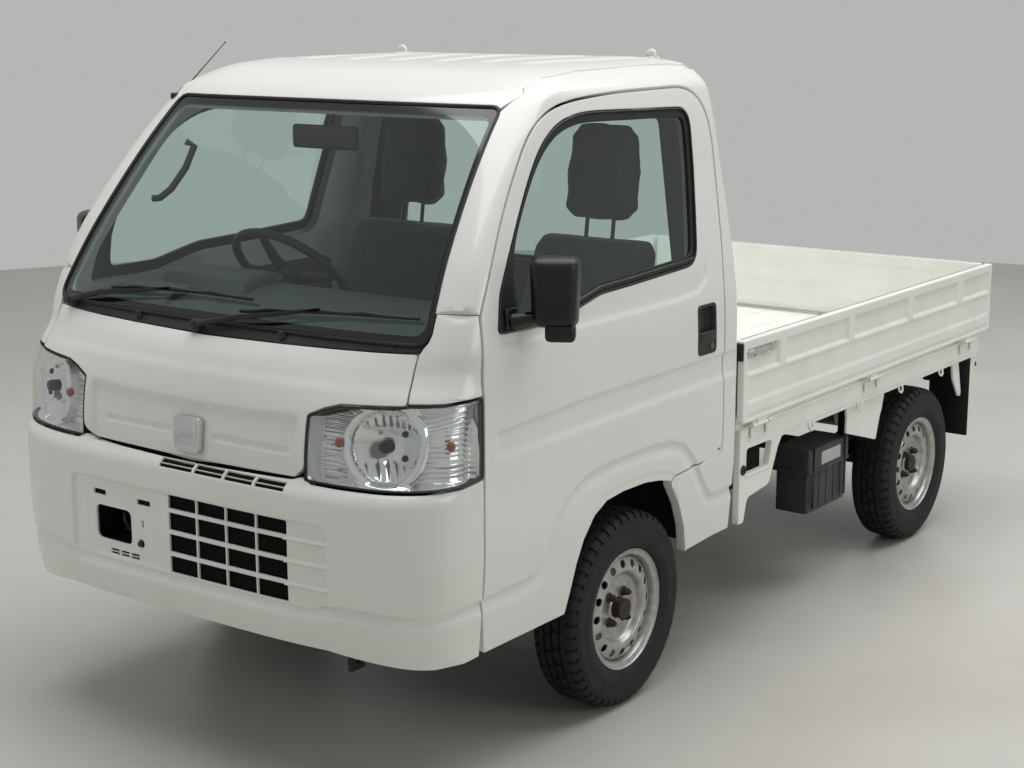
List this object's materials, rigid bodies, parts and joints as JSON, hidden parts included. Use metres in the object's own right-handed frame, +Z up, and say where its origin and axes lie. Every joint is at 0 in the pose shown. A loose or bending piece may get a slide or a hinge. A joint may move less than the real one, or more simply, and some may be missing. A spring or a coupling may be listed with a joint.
{
  "type": "kei truck",
  "caption": "Small cab-over pickup truck with a two-seat cab, opening doors, and a flat load bed closed by drop-down side gates and a tailgate.",
  "frame": {"origin": "on the ground, at the centre of the overall length and width", "axes": "+Z up, +X to the truck's left side, +Y to the tail (the nose faces -Y)"},
  "size_m": [1.74, 3.395, 1.7648],
  "materials": {
    "white_paint": "glossy white paint",
    "inner_paint": "satin white paint",
    "white_plastic": "painted plastic",
    "black_plastic": "grained black",
    "grey_plastic": "grained dark grey",
    "tinted_glass": "light green tint",
    "lamp_plastic": "clear lens over a bright reflector",
    "red_plastic": "red lens",
    "seat_cloth": "dark grey woven cover",
    "frame_black": "black frame paint",
    "cast_metal": "bare casting",
    "bare_steel": "dull steel",
    "black_rubber": "matt",
    "tyre_black": "matt rubber",
    "wheel_silver": "silver wheel paint"
  },
  "bodies": {
    "truck": {"cab_roof": "white_paint", "cab_shell": "white_paint", "cab_floor": "inner_paint", "front_panel": "white_paint", "corner_panels": "white_paint", "front_bumper": "white_plastic", "cowl": "black_plastic", "windscreen": "tinted_glass", "rear_window": "tinted_glass", "headlamps": "lamp_plastic", "wipers": "black_plastic", "dashboard": "grey_plastic", "seats": "seat_cloth", "cab_trim": "black_plastic", "front_frame": "frame_black", "rear_frame": "frame_black", "engine_block": "cast_metal", "fuel_tank": "frame_black", "battery_box": "grey_plastic", "exhaust": "bare_steel", "rear_axle": "frame_black", "front_suspension": "frame_black", "bed_floor": "white_paint", "bed_sills": "white_paint", "rear_fenders": "black_rubber", "tail_lamps": "red_plastic", "rear_bumper": "white_paint", "antenna": "black_plastic"},
    "left_door_body": {"left_door": "white_paint", "left_door_glass": "tinted_glass", "left_mirror": "black_plastic"},
    "right_door_body": {"right_door": "white_paint", "right_door_glass": "tinted_glass", "right_mirror": "black_plastic"},
    "left_side_gate_body": {"left_side_gate": "white_paint"},
    "right_side_gate_body": {"right_side_gate": "white_paint"},
    "tailgate_body": {"tailgate": "white_paint"},
    "left_knuckle_body": {"left_knuckle": "cast_metal"},
    "right_knuckle_body": {"right_knuckle": "cast_metal"},
    "steering_wheel_body": {"steering_wheel": "grey_plastic"},
    "front_left_wheel": {"front_left_tyre": "tyre_black", "front_left_rim": "wheel_silver"},
    "front_right_wheel": {"front_right_tyre": "tyre_black", "front_right_rim": "wheel_silver"},
    "rear_left_wheel": {"rear_left_tyre": "tyre_black", "rear_left_rim": "wheel_silver"},
    "rear_right_wheel": {"rear_right_tyre": "tyre_black", "rear_right_rim": "wheel_silver"}
  },
  "joints": [
    {"name": "left_door_hinge", "type": "hinge", "parent": "truck", "child": "left_door_body", "pos_m": [0.7365, -1.419, 0.8], "axis": [0, 0, -1], "range_deg": [0, 65]},
    {"name": "right_door_hinge", "type": "hinge", "parent": "truck", "child": "right_door_body", "pos_m": [-0.7365, -1.419, 0.8], "axis": [0, 0, 1], "range_deg": [0, 65]},
    {"name": "left_side_gate_hinge", "type": "hinge", "parent": "truck", "child": "left_side_gate_body", "pos_m": [0.7345, 0.75, 0.658], "axis": [0, 1, 0], "range_deg": [0, 170]},
    {"name": "right_side_gate_hinge", "type": "hinge", "parent": "truck", "child": "right_side_gate_body", "pos_m": [-0.7345, 0.75, 0.658], "axis": [0, -1, 0], "range_deg": [0, 170]},
    {"name": "tailgate_hinge", "type": "hinge", "parent": "truck", "child": "tailgate_body", "pos_m": [0, 1.6945, 0.658], "axis": [-1, 0, 0], "range_deg": [0, 170]},
    {"name": "left_knuckle_steer", "type": "hinge", "parent": "truck", "child": "left_knuckle_body", "pos_m": [0.545, -0.75, 0.271], "axis": [0, 0, 1], "range_deg": [-32, 32]},
    {"name": "right_knuckle_steer", "type": "hinge", "parent": "truck", "child": "right_knuckle_body", "pos_m": [-0.545, -0.75, 0.271], "axis": [0, 0, 1], "range_deg": [-32, 32]},
    {"name": "steering_wheel_turn", "type": "hinge", "parent": "truck", "child": "steering_wheel_body", "pos_m": [-0.34, -0.91, 1.118], "axis": [0, 0.7071, 0.7071], "range_deg": [-580, 580]},
    {"name": "front_left_spin", "type": "hinge", "parent": "left_knuckle_body", "child": "front_left_wheel", "pos_m": [0.645, -0.75, 0.271], "axis": [1, 0, 0], "continuous": true},
    {"name": "front_right_spin", "type": "hinge", "parent": "right_knuckle_body", "child": "front_right_wheel", "pos_m": [-0.645, -0.75, 0.271], "axis": [1, 0, 0], "continuous": true},
    {"name": "rear_left_spin", "type": "hinge", "parent": "truck", "child": "rear_left_wheel", "pos_m": [0.645, 1.15, 0.271], "axis": [1, 0, 0], "continuous": true},
    {"name": "rear_right_spin", "type": "hinge", "parent": "truck", "child": "rear_right_wheel", "pos_m": [-0.645, 1.15, 0.271], "axis": [1, 0, 0], "continuous": true}
  ],
  "couplings": [
    {"joint": "right_knuckle_steer", "follows": "left_knuckle_steer", "ratio": 1},
    {"joint": "steering_wheel_turn", "follows": "left_knuckle_steer", "ratio": 18}
  ]
}
